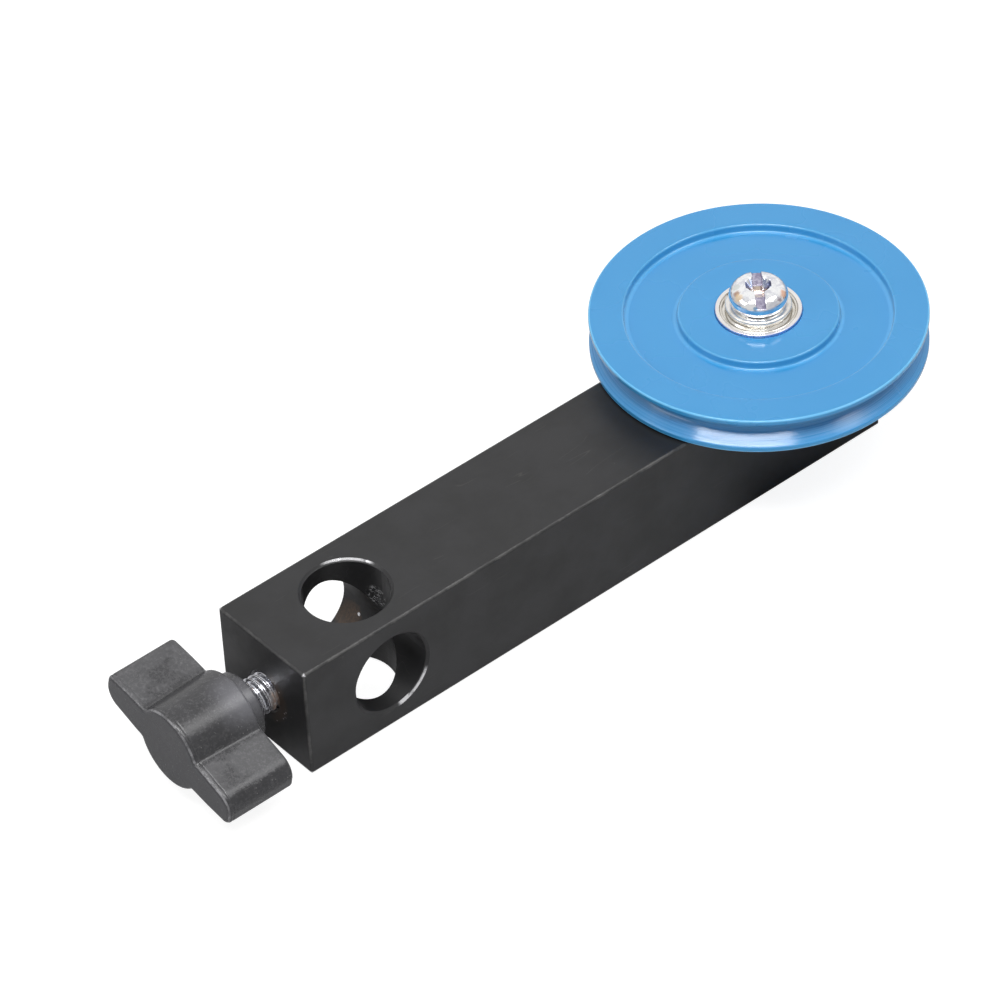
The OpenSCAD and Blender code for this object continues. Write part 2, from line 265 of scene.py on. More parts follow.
def round_slab(flat, along, half, e):
    """Distance of a prism, from its section's distance and the coordinate along it. e is its edge radius."""
    a, b = flat + e, np.abs(along) - (half - e)
    return np.hypot(np.maximum(a, 0), np.maximum(b, 0)) + np.minimum(np.maximum(a, b), 0) - e


# ---------------------------------------------------------------- material helpers

class Surface:
    """A node material with short calls for the nodes it is made of. Sizes and places in them are in mm."""

    def __init__(self, name):
        self.material = bpy.data.materials.new(name)
        self.material.use_nodes = True
        self.tree = self.material.node_tree
        self.shader = self.tree.nodes["Principled BSDF"]
        self.point = self.node("TexCoord").outputs["Object"]

    def node(self, kind, inputs=(), **settings):
        n = self.tree.nodes.new("ShaderNode" + kind)
        for key, value in settings.items():
            setattr(n, key, value)
        for key, value in dict(inputs).items():
            self.put(n.inputs[key], value)
        return n

    def put(self, socket, value):
        if isinstance(value, bpy.types.NodeSocket):
            self.tree.links.new(value, socket)
        elif hasattr(value, "__len__") and len(value) == 3 and socket.type == "RGBA":
            socket.default_value = (*value, 1)
        else:
            socket.default_value = value

    def math(self, operation, *values):
        n = self.node("Math", operation=operation)
        for k, value in enumerate(values):
            self.put(n.inputs[k], value)
        return n.outputs[0]

    def fold(self, operation, values):
        """One operation over two or more values, from the left."""
        total = values[0]
        for value in values[1:]:
            total = self.math(operation, total, value)
        return total

    def times(self, *values):
        return self.fold("MULTIPLY", values)

    def plus(self, *values):
        return self.fold("ADD", values)

    def most(self, *values):
        return self.fold("MAXIMUM", values)

    def least(self, *values):
        return self.fold("MINIMUM", values)

    def minus(self, a, b):
        return self.math("SUBTRACT", a, b)

    def absolute(self, value):
        return self.math("ABSOLUTE", value)

    def hypot(self, a, b):
        return self.math("SQRT", self.plus(self.math("POWER", a, 2.0), self.math("POWER", b, 2.0)))

    def axes(self, vector=None):
        n = self.node("SeparateXYZ", {0: vector or self.point})
        return n.outputs[0], n.outputs[1], n.outputs[2]

    def combine(self, x, y, z):
        return self.node("CombineXYZ", {0: x, 1: y, 2: z}).outputs[0]

    def from_axle(self, x, y):
        return self.hypot(self.minus(x, REACH * MM), y)

    def away(self, place):
        """Distance from a place."""
        n = self.node("VectorMath", {0: self.point, 1: tuple(v * MM for v in place)}, operation="DISTANCE")
        return n.outputs["Value"]

    def moved(self, scale=(1, 1, 1), turn=(0, 0, 0), by=(0, 0, 0)):
        n = self.node("Mapping", {"Vector": self.point, "Location": by, "Rotation": turn, "Scale": scale})
        return n.outputs[0]

    def noise(self, size, detail, rough, point=None):
        n = self.node("TexNoise", {"Vector": point or self.point, "Scale": 1 / (size * MM), "Detail": detail,
                                   "Roughness": rough})
        return n.outputs["Fac"]

    def cells(self, size):
        """Distance to the nearest of many scattered points, in shares of their spacing."""
        return self.node("TexVoronoi", {"Vector": self.point, "Scale": 1 / (size * MM)}).outputs["Distance"]

    def band(self, value, low, high, out_low=0.0, out_high=1.0):
        """value from low..high taken smoothly to out_low..out_high, and held outside."""
        inputs = {0: value, 1: low, 2: high, 3: out_low, 4: out_high}
        return self.node("MapRange", inputs, interpolation_type="SMOOTHSTEP").outputs[0]

    def reach(self, value, low, high, out_low=0.0, out_high=1.0):
        """The same for a length, with its limits in millimetres."""
        return self.band(value, low * MM, high * MM, out_low, out_high)

    def ragged(self, length, amount, spread):
        """A length made uneven by a noise of 0..1."""
        return self.plus(length, self.times(self.minus(amount, 0.5), spread * MM))

    def mix(self, amount, a, b):
        n = self.node("Mix", data_type="RGBA")
        self.put(n.inputs["Factor"], amount)
        self.put(n.inputs[6], a)
        self.put(n.inputs[7], b)
        return n.outputs[2]

    def blend(self, amount, a, b):
        """Number between a and b."""
        n = self.node("Mix", data_type="FLOAT")
        self.put(n.inputs["Factor"], amount)
        self.put(n.inputs[2], a)
        self.put(n.inputs[3], b)
        return n.outputs[0]

    def bump(self, height, depth):
        return self.node("Bump", {"Height": height, "Distance": depth * MM}).outputs[0]

    def edges(self, radius):
        """0 on flats, rising where the surface turns a corner within the radius."""
        bevel = self.node("Bevel", {"Radius": radius * MM}, samples=6).outputs[0]
        flat = self.node("NewGeometry").outputs["Normal"]
        turned = self.node("VectorMath", {0: bevel, 1: flat}, operation="DOT_PRODUCT").outputs["Value"]
        return self.minus(1.0, turned)

    def scratches(self, size, stretch, turn, thin, keep, offset=0.0):
        """Sparse fine lines along one direction."""
        across = self.moved(scale=(1 / stretch, 1, 1), turn=turn, by=(offset, 0.37 * offset, 0.11))
        line = self.absolute(self.minus(self.noise(size, 1.0, 0.4, across), 0.5))
        patches = self.noise(size * 3.1, 2.0, 0.5, self.moved(by=(offset + 0.3, 0.2, 0.5)))
        return self.times(self.band(line, 0.0, thin, 1.0, 0.0), self.band(patches, keep, keep + 0.06))

    def set(self, **sockets):
        for key, value in sockets.items():
            self.put(self.shader.inputs[key.replace("_", " ")], value)
        return self.material


def paint(name, material):
    """A CAD node's finish."""
    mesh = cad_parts[name].data
    mesh.materials.clear()
    mesh.materials.append(material)


# ---------------------------------------------------------------- materials

def blackened_steel():
    s = Surface("blackened_steel")
    x, y, z = s.axes()
    up = s.minus(z, AXIS_Z * MM)
    cloud = s.noise(9, 4, 0.6)
    grain = s.noise(0.35, 3, 0.6)
    broken = s.noise(1.3, 4, 0.7)
    fleck = s.band(s.cells(1.3), 0.0, 0.11, 1.0, 0.0)
    colour = s.mix(s.band(cloud, 0.3, 0.7), (0.0125, 0.0125, 0.013), (0.019, 0.019, 0.0205))
    colour = s.mix(s.times(fleck, s.band(grain, 0.5, 0.75, 0, 0.25)), colour, (0.08, 0.065, 0.055))
    worn, corner = bar_edge_wear(s, x, y, up, broken)
    colour = s.mix(s.times(worn, 0.7), colour, (0.088, 0.086, 0.085))
    marks = s.most(s.scratches(3.6, 10.0, (0.2, 0.35, 0.5), 0.006, 0.60),
                   s.scratches(2.2, 8.0, (0.6, -0.2, -0.7), 0.008, 0.61, 0.9))
    colour = s.mix(s.times(marks, 0.22), colour, (0.10, 0.095, 0.09))
    mouth_film, mouth_bare_and_glint = clamp_mouth_marks(s, x, y, up, broken)
    from_upright = s.hypot(x, y)
    from_crosswise = s.hypot(x, up)
    bore_film, bore_bare_and_glints = bore_marks(s, x, y, up, from_upright, from_crosswise, broken)
    brown = s.most(s.times(mouth_film, 0.35), s.times(bore_film, s.band(grain, 0.35, 0.65, 0.45, 0.9)))
    colour = s.mix(brown, colour, (0.080, 0.049, 0.030))
    # bare metal: worn corners, and lips bare where they catch the light, which paints glints there
    bare_and_glints = s.most(bore_bare_and_glints, mouth_bare_and_glint, s.reach(corner, -0.48, -0.22, 0.0, 0.85))
    colour = s.mix(bare_and_glints, colour, (0.74, 0.74, 0.76))
    rough = s.blend(worn, s.band(cloud, 0.3, 0.7, 0.46, 0.36), 0.34)
    rough = s.blend(bare_and_glints, rough, 0.22)
    # boring marks run round the upright bore
    in_upright = s.reach(from_upright, ROD_BORE_R + 0.02, ROD_BORE_R + 0.08, 1.0, 0.0)
    boring = s.noise(0.42, 3, 0.7, s.combine(s.times(x, 0.12), s.times(y, 0.12), z))
    height = s.plus(s.times(grain, 0.6), s.times(marks, -0.8), s.times(in_upright, boring, 5.0))
    return s.set(Base_Color=colour, Roughness=rough, Metallic=s.times(bare_and_glints, 0.95),
                 Specular_IOR_Level=0.42, Normal=s.bump(height, 0.006))


def bar_edge_wear(s, x, y, up, broken):
    """Wear along the bar's edges, and how near the point is to one of its corners."""
    dx = s.minus(s.absolute(s.minus(x, BAR_MID_X * MM)), BAR_HALF_L * MM)
    dy = s.minus(s.absolute(y), AXIS_Z * MM)
    dz = s.minus(s.absolute(up), AXIS_Z * MM)
    # second largest of the three: near 0 only where two faces meet
    edge = s.most(s.least(dx, dy), s.least(dy, dz), s.least(dx, dz))
    corner = s.least(dx, dy, dz)
    worn = s.times(s.reach(s.ragged(edge, broken, 0.45), -0.46, -0.20),
                   s.band(s.noise(3.4, 4, 0.65), 0.38, 0.60, 0.2, 1.0))
    return s.most(worn, s.reach(corner, -0.70, -0.25, 0.0, 1.4)), corner


def clamp_mouth_marks(s, x, y, up, broken):
    """Brown film beside the clamp screw's mouth, and its bare lip and specks. The lip is bare only on its
    upper part, where it catches the light: wear, and a painted glint.
    """
    from_axis = s.hypot(y, up)
    at_end = s.reach(x, END_X + 0.2, END_X + 0.9, 1.0, 0.0)
    film = s.times(s.reach(s.ragged(from_axis, s.noise(1.4, 4, 0.7), 2.2), 4.2, 5.4, 1.0, 0.0), at_end,
                   s.reach(y, -0.4, -2.4))
    # bare only on the upper part of the lip, where it catches the light: wear and a painted glint
    lip = s.times(s.reach(from_axis, STUD_R + 0.42, STUD_R + 0.34), at_end, s.reach(up, -1.4, 0.6),
                  s.band(broken, 0.32, 0.46, 0.35, 1.0))
    specks = s.times(s.band(s.cells(0.9), 0.10, 0.20, 1.0, 0.0), at_end, s.reach(from_axis, 6.6, 4.6),
                     s.reach(y, -1.6, -2.4), s.band(s.noise(1.7, 2, 0.5), 0.44, 0.50))
    return film, s.most(s.times(lip, 0.9), s.times(specks, 0.5))


def bore_marks(s, x, y, up, from_upright, from_crosswise, broken):
    """Bare metal arcs on the rod bores' mouths, only where the lips catch the light, so wear and painted
    glints, and bright streaks, a dot and brown film in the upright bore.
    """

    def on_lip(radius, inner, full):
        return s.times(s.reach(radius, ROD_BORE_R + inner, ROD_BORE_R + full),
                       s.reach(radius, ROD_BORE_R + 0.45, ROD_BORE_R + 0.36))

    def lip_arc(radius, other, outwards, side, low, high):
        """The part of a mouth's lip that lies toward side, a direction in x and the other coordinate."""
        toward = s.math("DIVIDE", s.plus(s.times(x, side[0]), s.times(other, side[1])), radius)
        return s.times(on_lip(radius, 0.08, 0.24), s.reach(outwards, AXIS_Z - 0.55, AXIS_Z - 0.42),
                       s.band(toward, low, high))

    # the lips are bare only on the sides that catch the light: wear, and a painted glint
    bare_arcs_and_glints = s.most(lip_arc(from_upright, y, up, (0.66, 0.75), 0.80, 0.93),
                  lip_arc(from_crosswise, up, s.times(y, -1.0), (0.60, -0.80), 0.84, 0.95))
    bare_arcs_and_glints = s.times(bare_arcs_and_glints, s.band(broken, 0.32, 0.52, 0.3, 1.0))
    # a bare spot on the front bore's lower lip: wear, and a painted glint
    bare_blob_and_glint = s.times(s.reach(s.away((1.9, -9.5, 3.3)), 1.3, 0.5), on_lip(from_crosswise, 0.0, 0.06))
    in_upright = s.reach(from_upright, ROD_BORE_R + 0.02, ROD_BORE_R + 0.08, 1.0, 0.0)
    streaks = s.noise(0.30, 2, 0.7, s.moved(scale=(1, 0.5, 1), turn=(0.6, 0, 0)))
    glint = s.times(in_upright, s.reach(s.away((6.3, 1.2, 13.5)), 2.1, 0.9), s.band(streaks, 0.53, 0.58), 0.9)
    dot = s.reach(s.away((6.0, 5.45, 7.2)), 0.34, 0.18)
    film_edge = s.ragged(s.away((5.6, 7.2, 6.0)), s.noise(1.2, 4, 0.7), 3.0)
    film = s.times(s.reach(film_edge, 3.0, 1.8),
                   s.reach(from_crosswise, ROD_BORE_R + 0.08, ROD_BORE_R + 0.02))
    return film, s.most(bare_arcs_and_glints, bare_blob_and_glint, glint, dot)


def blue_plastic():
    s = Surface("blue_plastic")
    x, y, z = s.axes()
    radius = s.from_axle(x, y)
    flange = s.absolute(s.minus(z, WHEEL_MID_Z * MM))
    flow = s.noise(14, 3, 0.5)
    colour = s.mix(s.band(flow, 0.3, 0.7), (0.027, 0.272, 0.592), (0.032, 0.284, 0.608))

    # painted light: painted highlights along the moulded edges and the fillets at the walls' feet, and the
    # recess walls painted lighter, as if lit
    def ring(at, wide):
        return s.reach(s.absolute(s.minus(radius, at * MM)), wide, wide * 0.45)

    at_top = s.reach(flange, 2.62, 2.86)
    painted_edge_highlight = s.most(s.times(ring(BOSS_R - 0.13, 0.22), 0.5), s.times(ring(RIM_R + 0.1, 0.22), 0.5),
                 ring(WHEEL_R - 0.1, 0.20))
    painted_edge_highlight = s.times(at_top, painted_edge_highlight)
    painted_wall_light = s.times(s.most(ring(BOSS_R + 0.05, 0.55), ring(RIM_R - 0.05, 0.55)), s.reach(flange, 2.95, 2.7))
    # painted highlight along the fillets at the feet of the walls
    foot = s.times(s.most(ring(BOSS_R + 0.35, 0.42), ring(RIM_R - 0.4, 0.42)), s.reach(flange, 2.2, 1.95))
    colour = s.mix(s.times(painted_wall_light, 0.45), colour, (0.070, 0.37, 0.72))
    colour = s.mix(s.times(foot, 0.3), colour, (0.13, 0.50, 0.85))
    colour = s.mix(s.times(painted_edge_highlight, 0.7), colour, (0.17, 0.58, 0.92))
    # turning lines that run round the groove
    line = s.noise(0.22, 3, 0.8, s.combine(radius, z, s.times(x, 0.004)))
    in_groove = s.times(s.reach(radius, WHEEL_R - 0.02, WHEEL_R - 0.2), s.reach(radius, 22.4, 22.8),
                        s.reach(z, WHEEL_MID_Z - 2.25, WHEEL_MID_Z - 2.1),
                        s.reach(z, WHEEL_MID_Z + 2.25, WHEEL_MID_Z + 2.1))
    # painted highlight and shade: lighter and darker colour streaks along the turning lines
    colour = s.mix(s.times(in_groove, s.band(line, 0.50, 0.66, 0.0, 0.55)), colour, (0.085, 0.34, 0.66))
    colour = s.mix(s.times(in_groove, s.band(line, 0.50, 0.34, 0.0, 0.6)), colour, (0.012, 0.19, 0.50))
    dust = s.band(s.cells(2.6), 0.0, 0.05, 1.0, 0.0)
    colour = s.mix(s.times(dust, 0.12), colour, (0.30, 0.52, 0.74))
    fine = s.noise(0.5, 2, 0.5)
    marks = s.scratches(4.5, 8.0, (0.1, 0.2, 0.9), 0.008, 0.58, 1.7)
    height = s.plus(s.times(fine, 0.25), s.times(marks, -0.5), s.times(line, in_groove, 3.4))
    rough = s.blend(in_groove, s.band(flow, 0.3, 0.7, 0.30, 0.26), s.band(line, 0.35, 0.65, 0.24, 0.40))
    normal = s.bump(height, 0.004)
    return s.set(Base_Color=colour, Roughness=rough, Specular_IOR_Level=0.25, Normal=normal,
                 Coat_Weight=1.0, Coat_Roughness=0.12, Coat_Normal=normal)


def metal(name, colour, dull, rough, rough_spread, line_size, wear=0.0, turned=True, painted_reflection_from=None):
    """Bright metal with stains and fine scratches, turning lines about the axle where it is turned, and a
    painted reflection of the blue wheel on its outer edge where asked.
    """
    s = Surface(name)
    x, y, z = s.axes()
    radius = s.from_axle(x, y)
    stain = s.band(s.noise(2.4, 4, 0.6), 0.35, 0.72)
    tone = s.mix(stain, colour, dull)
    if painted_reflection_from:
        # painted reflection: a blue-lilac tint on the outer edge, for the blue wheel mirrored there
        tint = s.mix(s.band(s.noise(4.0, 3, 0.6), 0.42, 0.58), (0.36, 0.40, 0.72), (0.52, 0.46, 0.66))
        tone = s.mix(s.reach(radius, painted_reflection_from, painted_reflection_from + 0.07, 0.0, 0.7), tone, tint)
    if turned:
        line = s.noise(line_size, 2, 0.6, s.combine(radius, z, s.times(x, 0.02)))
    else:
        line = s.noise(line_size, 3, 0.6)
    if wear:
        tone = s.mix(s.times(s.band(s.edges(0.25), 0.02, 0.2), wear), tone, (0.93, 0.93, 0.92))
    marks = s.scratches(1.1, 6.0, (0.4, 0.3, 0.9), 0.02, 0.52)
    return s.set(Base_Color=tone, Metallic=1.0, Roughness=s.blend(stain, rough, rough + rough_spread),
                 Normal=s.bump(s.plus(line, s.times(marks, -0.8)), 0.0015))


# Coloured spots on the screw's head: place from the head's foot on the axle, radius and colour. The blue one,
# low on the near side, is a painted reflection of the wheel.
HEAD_SPOTS_AND_PAINTED_REFLECTION = [
    ((-3.3, 0.9, 2.8), 0.75, (0.42, 0.22, 0.12)),
    ((-3.6, 0.2, 2.6), 0.95, (0.88, 0.66, 0.42)),
    ((1.8, -3.4, 2.4), 0.95, (0.86, 0.46, 0.30)),
    ((0.6, -3.8, 2.4), 0.60, (0.30, 0.24, 0.30)),
    # painted reflection of the blue wheel
    ((-3.1, -2.6, 2.1), 0.50, (0.16, 0.36, 0.58)),
    ((-2.7, 2.0, 3.2), 0.90, (0.66, 0.70, 0.68)),
]


def plated_head():
    """Bright plating with painted shade and painted blue and lilac reflections in the driver's recess, an
    orange tint deep in it, and a few coloured spots.
    """
    s = Surface("plated_head")
    x, y, z = s.axes()
    px, py = s.minus(x, REACH * MM), y
    c, n = math.cos(SLOT_TURN), math.sin(SLOT_TURN)
    across = s.absolute(s.minus(s.times(py, c), s.times(px, n)))
    along = s.absolute(s.plus(s.times(px, c), s.times(py, n)))
    out = s.hypot(px, py)
    up = s.minus(z, HEAD_Z * MM)
    stain = s.band(s.noise(1.5, 4, 0.65), 0.42, 0.64)
    tone = s.mix(stain, (0.93, 0.94, 0.95), (0.70, 0.71, 0.77))
    # the recess: its arms and its slot in painted shade with painted blue and lilac reflections, and an
    # orange tint at its floor
    shade = s.noise(0.9, 3, 0.6)
    below = s.reach(up, HEAD_H - 0.2, HEAD_H - 0.42)
    slot = s.times(s.reach(across, SLOT_W / 2 + 0.1, SLOT_W / 2), below, s.reach(up, 1.95, 2.08))
    arms = s.times(s.reach(along, 0.85, 0.70), below, s.reach(out, 2.3, 1.9))
    deep = s.times(s.reach(up, 2.02, 1.80), s.reach(out, 2.1, 1.7))
    arm_painted_shade_and_reflection = s.mix(s.band(shade, 0.4, 0.6), (0.26, 0.31, 0.50), (0.50, 0.53, 0.62))
    tone = s.mix(s.times(arms, 0.85), tone, arm_painted_shade_and_reflection)
    slot_painted_shade_and_reflection = s.mix(s.band(shade, 0.38, 0.62), (0.27, 0.24, 0.37), (0.50, 0.47, 0.60))
    tone = s.mix(s.times(slot, 0.9), tone, slot_painted_shade_and_reflection)
    warm = s.most(s.times(slot, s.reach(out, 1.9, 0.7), s.band(s.noise(1.1, 3, 0.6), 0.42, 0.56)),
                  s.times(deep, 0.7))
    tone = s.mix(warm, tone, s.mix(s.band(shade, 0.4, 0.6), (0.56, 0.46, 0.44), (0.70, 0.60, 0.50)))
    uneven = s.noise(0.7, 3, 0.7)
    for at, size, tint in HEAD_SPOTS_AND_PAINTED_REFLECTION:
        off = s.ragged(s.away((REACH + at[0], at[1], HEAD_Z + at[2])), uneven, 0.9)
        tone = s.mix(s.times(s.reach(off, size, size * 0.45), 0.8), tone, tint)
    marks = s.scratches(1.1, 6.0, (0.4, 0.3, 0.9), 0.02, 0.52)
    height = s.plus(s.noise(0.45, 3, 0.6), s.times(marks, -0.8))
    return s.set(Base_Color=tone, Metallic=1.0, Roughness=s.blend(slot, s.blend(stain, 0.05, 0.12), 0.26),
                 Normal=s.bump(height, 0.0016))


def black_plastic():
    s = Surface("black_plastic")
    x, y, z = s.axes()
    cloud = s.noise(5.5, 5, 0.65)
    mottle = s.noise(0.55, 6, 0.8)
    # the flats of the wings and the front are scuffed grey, the boss and the wings' rims stay dark
    normal = s.axes(s.node("TexCoord").outputs["Normal"])
    c, n = math.cos(math.pi / 2 + WING_TURN), math.sin(math.pi / 2 + WING_TURN)
    across = s.absolute(s.plus(s.times(normal[2], n), s.times(normal[1], c)))
    nx = s.absolute(normal[0])
    from_axis = s.hypot(y, s.minus(z, AXIS_Z * MM))
    flat = s.times(s.band(across, 0.80, 0.97), s.reach(from_axis, 6.6, 8.2, 0.25, 1.0))
    front = s.band(nx, 0.86, 0.98)
    scuffed = s.times(s.most(flat, front), s.band(cloud, 0.34, 0.56, 0.45, 1.0))
    colour = s.mix(s.band(cloud, 0.3, 0.7), (0.018, 0.018, 0.020), (0.028, 0.028, 0.031))
    colour = s.mix(scuffed, colour, s.mix(front, (0.070, 0.070, 0.074), (0.034, 0.034, 0.038)))
    speckle = s.times(s.band(mottle, 0.46, 0.66), s.blend(scuffed, 0.22, 0.75),
                      s.band(front, 0.0, 1.0, 1.0, 0.25))
    colour = s.mix(speckle, colour, (0.135, 0.133, 0.140))
    fleck = s.times(s.band(s.cells(0.7), 0.02, 0.17, 1.0, 0.0), s.band(cloud, 0.42, 0.58))
    colour = s.mix(s.times(fleck, 0.6), colour, (0.24, 0.235, 0.23))
    # the rims of the front and the back are worn, more on some stretches than on others, and a painted
    # highlight brightens the boss's back rim on its upper near side
    rim = s.times(s.band(nx, 0.35, 0.6), s.band(nx, 0.90, 0.78))
    worn = s.most(s.band(s.noise(2.6, 4, 0.75), 0.44, 0.60, 0.30, 1.0),
                  s.reach(s.away((-21.9, -3.0, 15.5)), 3.6, 2.0, 0.0, 1.3))
    colour = s.mix(s.times(rim, worn, 0.8), colour, (0.27, 0.268, 0.28))
    marks = s.most(s.scratches(0.9, 5.0, (0.3, 0.1, 0.4), 0.012, 0.58),
                   s.scratches(0.8, 5.0, (1.3, 0.6, -0.8), 0.012, 0.60, 1.1))
    colour = s.mix(s.times(marks, 0.3), colour, (0.22, 0.22, 0.22))
    # painted sheen: the boss's upper near side made lighter grey, where it shines
    painted_sheen = s.ragged(s.away((-22.4, -3.6, AXIS_Z + 5.6)), cloud, 4.0)
    painted_sheen = s.times(s.reach(painted_sheen, 6.0, 1.0), s.band(front, 0.0, 0.6, 1.0, 0.0))
    colour = s.mix(s.times(painted_sheen, 0.62), colour, (0.185, 0.185, 0.205))
    rough = s.blend(scuffed, s.band(mottle, 0.42, 0.66, 0.15, 0.27), s.band(mottle, 0.42, 0.66, 0.36, 0.50))
    height = s.plus(s.times(mottle, 1.3), s.times(s.noise(0.22, 3, 0.6), 0.4), s.times(marks, -0.5))
    return s.set(Base_Color=colour, Roughness=rough, Specular_IOR_Level=0.55, Normal=s.bump(height, 0.02))


def thread_steel():
    s = Surface("bright_steel")
    x, y, z = s.axes()
    stain = s.noise(1.1, 4, 0.7)
    tone = s.mix(s.band(stain, 0.46, 0.66), (0.84, 0.85, 0.89), (0.44, 0.43, 0.45))
    # rust beside the bar's end, on one side, and in spots
    low_side = s.times(s.reach(x, END_X - 1.2, END_X - 0.5), s.reach(y, -1.9, -2.6))
    spots = s.band(s.noise(0.7, 3, 0.7, s.moved(by=(0.004, 0.001, 0.002))), 0.63, 0.70)
    rust = s.most(s.times(low_side, s.band(s.noise(0.8, 4, 0.7), 0.30, 0.5)), s.times(spots, 0.8))
    tone = s.mix(s.times(rust, 0.8), tone, (0.26, 0.15, 0.09))
    line = s.noise(0.12, 2, 0.6, s.combine(x, s.times(y, 0.05), s.times(z, 0.05)))
    rough = s.blend(rust, s.band(stain, 0.3, 0.7, 0.10, 0.28), 0.55)
    return s.set(Base_Color=tone, Metallic=s.minus(1.0, s.times(rust, 0.6)), Roughness=rough,
                 Normal=s.bump(line, 0.004))


BLACKENED = blackened_steel()
BLUE = blue_plastic()
RING = metal("bearing_steel", (0.88, 0.86, 0.84), (0.78, 0.75, 0.73), 0.25, 0.08, 0.10,
             painted_reflection_from=BEARING_R - 0.12)
BALL = metal("ball_steel", (0.82, 0.82, 0.84), (0.74, 0.74, 0.75), 0.06, 0.04, 0.3, turned=False)
CAGE = metal("cage_steel", (0.62, 0.58, 0.50), (0.44, 0.40, 0.34), 0.28, 0.12, 0.25, turned=False)
SHIELD = metal("shield_steel", (0.80, 0.78, 0.74), (0.66, 0.62, 0.55), 0.16, 0.10, 0.12)
PLATED = metal("plated_steel", (0.84, 0.85, 0.86), (0.62, 0.63, 0.66), 0.10, 0.14, 0.45,
               wear=0.5, turned=False)
WASHER = metal("washer_steel", (0.86, 0.85, 0.83), (0.68, 0.66, 0.62), 0.20, 0.08, 0.10)
HEAD = plated_head()
KNOB = black_plastic()
THREAD = thread_steel()


# ---------------------------------------------------------------- wheel

def angle_from(t, a):
    """Signed angle from a to t, within half a turn."""
    return (t - a + math.pi) % (2 * math.pi) - math.pi


def wheel():
    bore, seat = 5.45, BEARING_R + 0.01
    web0, web1 = WHEEL_Z0 + WEB_DROP, WHEEL_Z1 - WEB_DROP
    edge, soft, lean, lip = 0.25, 0.34, 0.09, 0.14
    outline = rounded([
        (bore, BEARING_Z0, 0.1), (seat, BEARING_Z0, 0.05), (seat, WHEEL_Z1, 0.18),
        (BOSS_R - lean, WHEEL_Z1, soft), (BOSS_R + lean, web1, soft),
        (RIM_R - lean, web1, soft), (RIM_R + lean, WHEEL_Z1, soft), (WHEEL_R, WHEEL_Z1, edge),
        (WHEEL_R, WHEEL_MID_Z + GROOVE_HALF, lip), (GROOVE_ROOT_R, WHEEL_MID_Z, 0.9),
        (WHEEL_R, WHEEL_MID_Z - GROOVE_HALF, lip), (WHEEL_R, WHEEL_Z0, edge),
        (RIM_R + lean, WHEEL_Z0, soft), (RIM_R - lean, web0, soft),
        (BOSS_R + lean, web0, soft), (BOSS_R - lean, WHEEL_Z0, soft), (bore, WHEEL_Z0, edge),
    ], 8)
    # the mould's parting lines, by angle and height, and nicks in the rim's inner edge, by angle and depth
    welds = [(math.radians(a), h) for a, h in ((-76, 0.065), (14, 0.013), (104, 0.013), (194, 0.013))]
    nicks = [(math.radians(a), h)
             for a, h in ((-18.5, 0.10), (-33.5, 0.12), (10, 0.08), (-27, 0.05), (-52, 0.05))]
    angles = list(even_angles(360))
    for marks, spread, count in ((welds, 0.6, 13), (nicks, 1.1, 15)):
        for a, _ in marks:
            angles += [a + math.radians(d) for d in np.linspace(-spread, spread, count)]
    angles = np.unique(np.round(np.array(angles) % (2 * math.pi), 6))

    def shape(r, z, t):
        on_flank = np.clip((WHEEL_R - 0.05 - r) / 0.5, 0, 1) * np.clip((r - 22.9) / 0.6, 0, 1)
        on_flank = on_flank * (np.abs(z - WHEEL_MID_Z) < 2.4)
        for a, height in welds:
            ridge = on_flank * height * np.exp(-(angle_from(t, a) * r / 0.11) ** 2)
            z = z + ridge * np.where(z < WHEEL_MID_Z, 1, -1)
            r = r + ridge * 0.5
        for a, depth in nicks:
            on_edge = np.clip(1 - np.abs(r - RIM_R - 0.12) / 0.4, 0, 1) * (z > WHEEL_Z1 - 0.5)
            z = z - depth * on_edge * np.exp(-(angle_from(t, a) * r / 0.16) ** 2)
        return r, z

    verts, faces = revolve(subdivided(outline, 0.6), angles, shape)
    return weighted(piece("wheel", verts, faces, "wheel", BLUE, ["pulley_wheel"]))


# ---------------------------------------------------------------- bearing and its screw

def ring_piece():
    """Outer ring with its raceway, soft chamfers and the step for the shields."""
    mid, step, step_r = (BEARING_Z0 + BEARING_Z1) / 2, 1.41, 5.85
    race = [(r, z, 0.0) for r, z in arc(4.5, mid, 1.04, -0.9, 0.9, 13)]
    outline = rounded([
        (race[0][0], mid - step, 0.03), (step_r, mid - step, 0.03), (step_r, BEARING_Z0, 0.10),
        (BEARING_R, BEARING_Z0, 0.12), (BEARING_R, BEARING_Z1, 0.12),
        (step_r, BEARING_Z1, 0.10), (step_r, mid + step, 0.03), (race[-1][0], mid + step, 0.03),
        *race[::-1],
    ], 6)
    verts, faces = revolve(subdivided(outline, 0.5), even_angles(256))
    ring = piece("bearing_ring", verts, faces, "wheel", RING, ["bearing_outer_ring"])
    return weighted(ring)


def washer():
    outline = rounded([
        (SLEEVE_BORE_R, BEARING_Z1, 0.08), (WASHER_R, BEARING_Z1, 0.12),
        (WASHER_R, HEAD_Z, 0.36), (SLEEVE_BORE_R, HEAD_Z, 0.12),
    ], 6)
    verts, faces = revolve(subdivided(outline, 0.4), even_angles(192))
    return weighted(piece("washer", verts, faces, "root", WASHER, ["screw_washer"]))


def spacer():
    outline = rounded([
        (SLEEVE_BORE_R, BAR_W, 0.1), (SPACER_R, BAR_W, 0.15),
        (SPACER_R, BEARING_Z0, 0.15), (SLEEVE_BORE_R, BEARING_Z0, 0.1),
    ], 4)
    verts, faces = revolve(outline, even_angles(96))
    return weighted(piece("spacer", verts, faces, "root", RING, ["spacer_sleeve"]))


